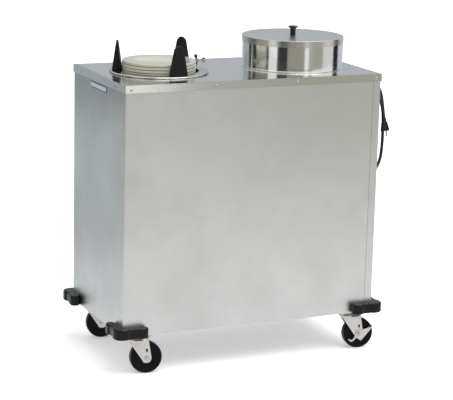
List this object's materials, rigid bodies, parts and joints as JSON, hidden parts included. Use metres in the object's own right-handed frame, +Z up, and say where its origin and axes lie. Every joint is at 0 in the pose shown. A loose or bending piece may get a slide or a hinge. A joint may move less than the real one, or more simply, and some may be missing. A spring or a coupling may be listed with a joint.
{
  "type": "heated plate dispenser cart",
  "caption": "Heated plate dispenser cart: stainless cabinet on swivel casters with sprung self-levelling plate wells, guides, a lift-off lid and a coiled mains lead.",
  "frame": {"origin": "on the floor under the middle of the cabinet", "axes": "+Z up, +X along the length towards the lidded well, -Y towards the front"},
  "size_m": [0.9586, 0.518, 1.0456],
  "materials": {
    "stainless_cap": "semi-bright brushed",
    "stainless_panel": "fine brushed",
    "stainless_lid": "bright brushed",
    "lid_top_and_knob": "bright brushed",
    "galvanised": "dull zinc",
    "carriage_steel": "plain",
    "spring_steel": "oiled wire",
    "heater_sheath": "heat dulled",
    "black_guide": "matte moulded",
    "glazed_plate": "glazed",
    "black_bumper": "semi-gloss",
    "zinc": "bright zinc",
    "wheel_rubber": "smooth",
    "switch_case": "nickel",
    "black_tip": "moulded",
    "bezel_chrome": "polished",
    "red_lens": "polished",
    "cord_jacket": "satin",
    "blade_brass": "bright"
  },
  "bodies": {
    "cabinet": {"top_cap": "stainless_cap", "front_wrap_panel": "stainless_panel", "rear_wrap_panel": "stainless_panel", "base_pan": "galvanised", "corner_posts": "galvanised", "corner_bumpers": "black_bumper", "caster_top_plates": "zinc", "caster_backing_plates": "galvanised", "well_rings": "stainless_cap", "well_heaters": "heater_sheath", "spring_columns": "galvanised", "plate_guides": "black_guide", "left_springs": "spring_steel", "right_springs": "spring_steel", "toggle_switch_body": "switch_case", "pilot_lamp_bezel": "bezel_chrome", "pilot_lamp_lens": "red_lens", "cord_hook": "stainless_cap", "cord_gland": "cord_jacket", "junction_box": "galvanised", "cord_lead": "cord_jacket", "cord_coil": "cord_jacket", "cord_tail": "cord_jacket", "plug_body": "cord_jacket", "plug_blades": "blade_brass"},
    "left_carriage": {"left_carriage": "carriage_steel"},
    "right_carriage": {"right_carriage": "carriage_steel"},
    "plates": {"plate_stack": "glazed_plate"},
    "lid": {"lid_band": "stainless_lid", "lid_top": "lid_top_and_knob"},
    "toggle": {"toggle_lever": "black_tip"},
    "front_left_swivel": {"front_left_fork": "zinc"},
    "front_left_wheel": {"front_left_wheel": "wheel_rubber"},
    "front_right_swivel": {"front_right_fork": "zinc"},
    "front_right_wheel": {"front_right_wheel": "wheel_rubber"},
    "front_right_brake": {"front_right_brake_lever": "zinc"},
    "rear_left_swivel": {"rear_left_fork": "zinc"},
    "rear_left_wheel": {"rear_left_wheel": "wheel_rubber"},
    "rear_right_swivel": {"rear_right_fork": "zinc"},
    "rear_right_wheel": {"rear_right_wheel": "wheel_rubber"},
    "rear_right_brake": {"rear_right_brake_lever": "zinc"}
  },
  "joints": [
    {"name": "left_carriage_slide", "type": "slide", "parent": "cabinet", "child": "left_carriage", "axis": [0, 0, 1], "range_m": [-0.45, 0], "stiffness_N_per_m": 763, "springref_m": 0.08, "deforming": ["left_springs"]},
    {"name": "right_carriage_slide", "type": "slide", "parent": "cabinet", "child": "right_carriage", "axis": [0, 0, 1], "range_m": [-0.45, 0], "stiffness_N_per_m": 763, "springref_m": 0.08, "deforming": ["right_springs"]},
    {"name": "plates_lift", "type": "slide", "parent": "left_carriage", "child": "plates", "axis": [0, 0, 1], "range_m": [0, 0.12]},
    {"name": "lid_lift", "type": "slide", "parent": "cabinet", "child": "lid", "axis": [0, 0, 1], "range_m": [0, 0.15]},
    {"name": "toggle_throw", "type": "hinge", "parent": "cabinet", "child": "toggle", "pos_m": [-0.017, 0.204, 0.91291], "axis": [0, 1, 0], "range_deg": [0, 32]},
    {"name": "front_left_swivel_turn", "type": "hinge", "parent": "cabinet", "child": "front_left_swivel", "pos_m": [-0.376, -0.198, 0.114], "axis": [0, 0, 1], "continuous": true},
    {"name": "front_left_wheel_roll", "type": "hinge", "parent": "front_left_swivel", "child": "front_left_wheel", "pos_m": [-0.35032, -0.20207, 0.0508], "axis": [0.1564, 0.9877, 0], "continuous": true},
    {"name": "front_right_swivel_turn", "type": "hinge", "parent": "cabinet", "child": "front_right_swivel", "pos_m": [0.376, -0.198, 0.114], "axis": [0, 0, 1], "continuous": true},
    {"name": "front_right_wheel_roll", "type": "hinge", "parent": "front_right_swivel", "child": "front_right_wheel", "pos_m": [0.40168, -0.20207, 0.0508], "axis": [0.1564, 0.9877, 0], "continuous": true},
    {"name": "front_right_brake_press", "type": "hinge", "parent": "front_right_swivel", "child": "front_right_brake", "pos_m": [0.40168, -0.20207, 0.0508], "axis": [0.1564, 0.9877, 0], "range_deg": [0, 25]},
    {"name": "rear_left_swivel_turn", "type": "hinge", "parent": "cabinet", "child": "rear_left_swivel", "pos_m": [-0.376, 0.198, 0.114], "axis": [0, 0, 1], "continuous": true},
    {"name": "rear_left_wheel_roll", "type": "hinge", "parent": "rear_left_swivel", "child": "rear_left_wheel", "pos_m": [-0.35032, 0.19393, 0.0508], "axis": [0.1564, 0.9877, 0], "continuous": true},
    {"name": "rear_right_swivel_turn", "type": "hinge", "parent": "cabinet", "child": "rear_right_swivel", "pos_m": [0.376, 0.198, 0.114], "axis": [0, 0, 1], "continuous": true},
    {"name": "rear_right_wheel_roll", "type": "hinge", "parent": "rear_right_swivel", "child": "rear_right_wheel", "pos_m": [0.40168, 0.19393, 0.0508], "axis": [0.1564, 0.9877, 0], "continuous": true},
    {"name": "rear_right_brake_press", "type": "hinge", "parent": "rear_right_swivel", "child": "rear_right_brake", "pos_m": [0.40168, 0.19393, 0.0508], "axis": [0.1564, 0.9877, 0], "range_deg": [0, 25]}
  ]
}
